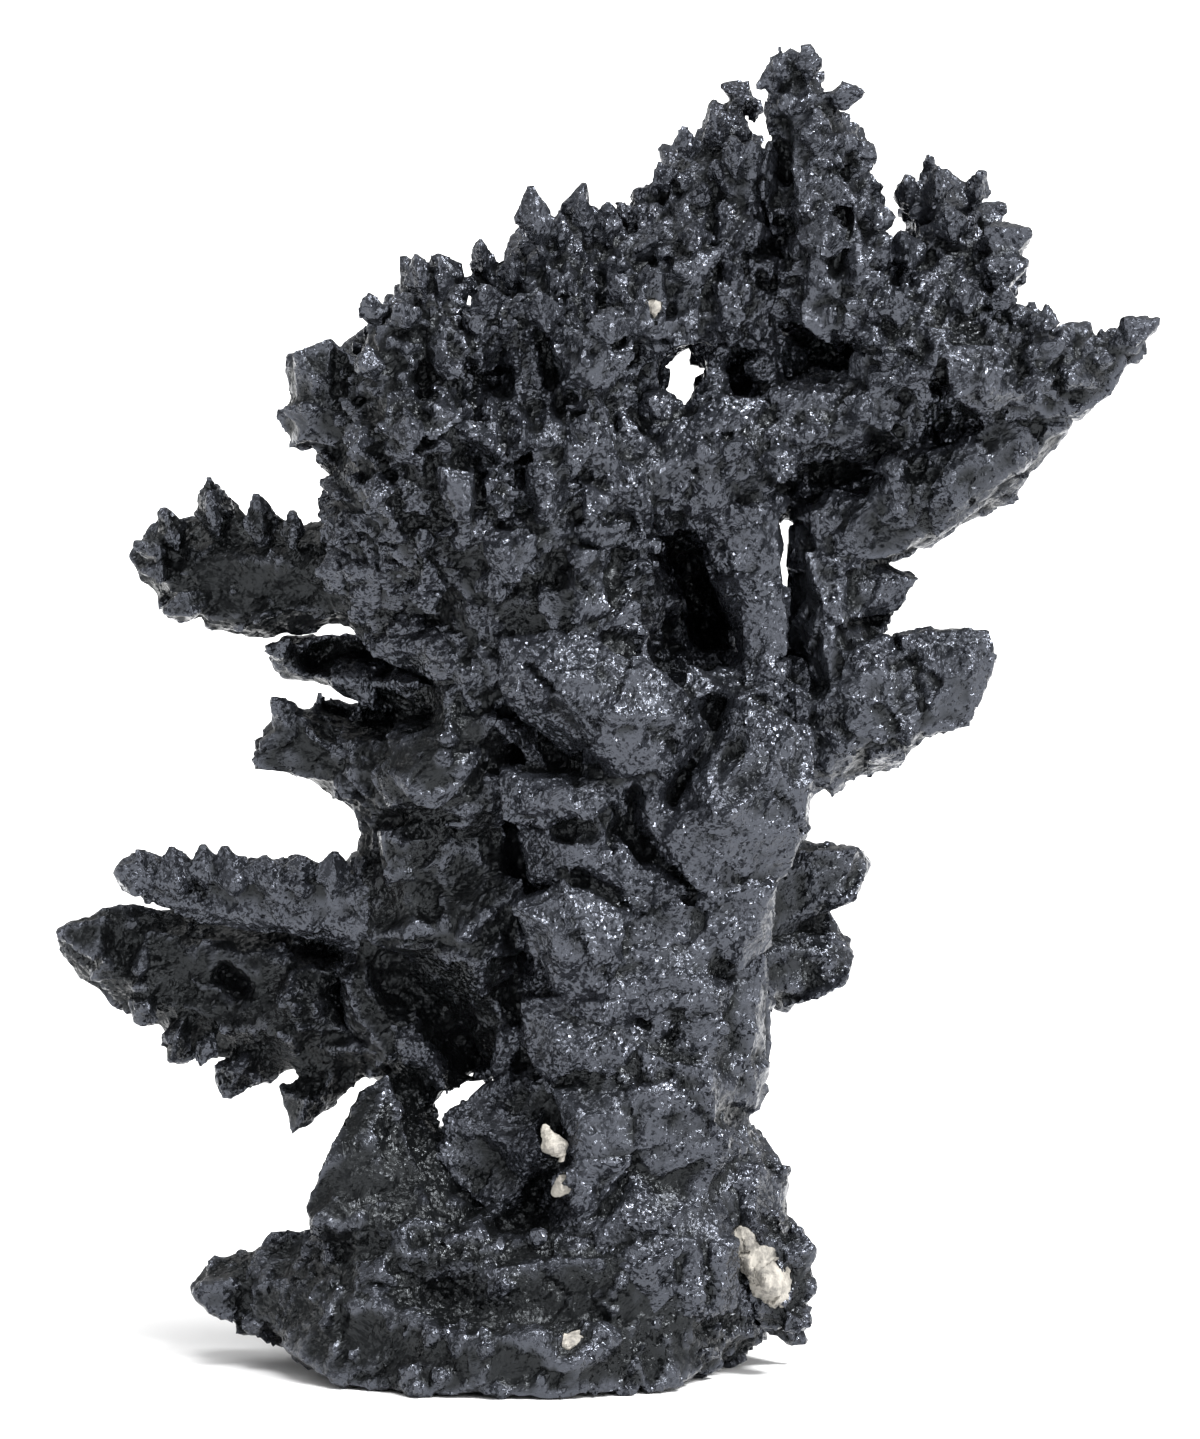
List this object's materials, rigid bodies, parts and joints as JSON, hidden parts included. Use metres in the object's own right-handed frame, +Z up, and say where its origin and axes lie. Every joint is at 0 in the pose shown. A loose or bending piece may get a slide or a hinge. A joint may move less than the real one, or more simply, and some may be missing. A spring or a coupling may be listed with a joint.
{
  "type": "argentite specimen",
  "caption": "Branching mineral specimen of dark metallic crystals that stands on a flat-cut foot, with small pale grains in its surface.",
  "frame": {"origin": "middle of the box round the specimen, on the flat cut under its foot", "axes": "+Z up from the flat cut, +X to the right of the front face, +Y towards the back; the front faces -Y"},
  "size_m": [0.044, 0.0194, 0.0536],
  "materials": {
    "dark_crystal": "dark blue-grey metallic crystal faces, pitted and striated, with bright edges",
    "pale_grain": "chalky cream, slightly rough"
  },
  "bodies": {
    "root": {"foot": "dark_crystal", "foot_spear_left": "dark_crystal", "foot_fin": "dark_crystal", "foot_knob_right": "dark_crystal", "trunk_lower": "dark_crystal", "trunk_upper": "dark_crystal", "left_shoulder": "dark_crystal", "lower_left_spear": "dark_crystal", "lower_left_bar": "dark_crystal", "left_arm_low": "dark_crystal", "left_arm_high": "dark_crystal", "left_upper_spear": "dark_crystal", "stub_upper_right": "dark_crystal", "stub_lower_right": "dark_crystal", "back_wall": "dark_crystal", "pillar": "dark_crystal", "right_fan": "dark_crystal", "neck": "dark_crystal", "left_crown_outer": "dark_crystal", "left_crown_inner": "dark_crystal", "beam": "dark_crystal", "right_blade": "dark_crystal", "right_cluster": "dark_crystal", "upper_right_cluster": "dark_crystal", "top_crown_left": "dark_crystal", "top_crown_right": "dark_crystal", "grain_large": "pale_grain", "grain_upper": "pale_grain", "grain_middle": "pale_grain", "grain_foot": "pale_grain", "grain_crown": "pale_grain"}
  },
  "joints": []
}
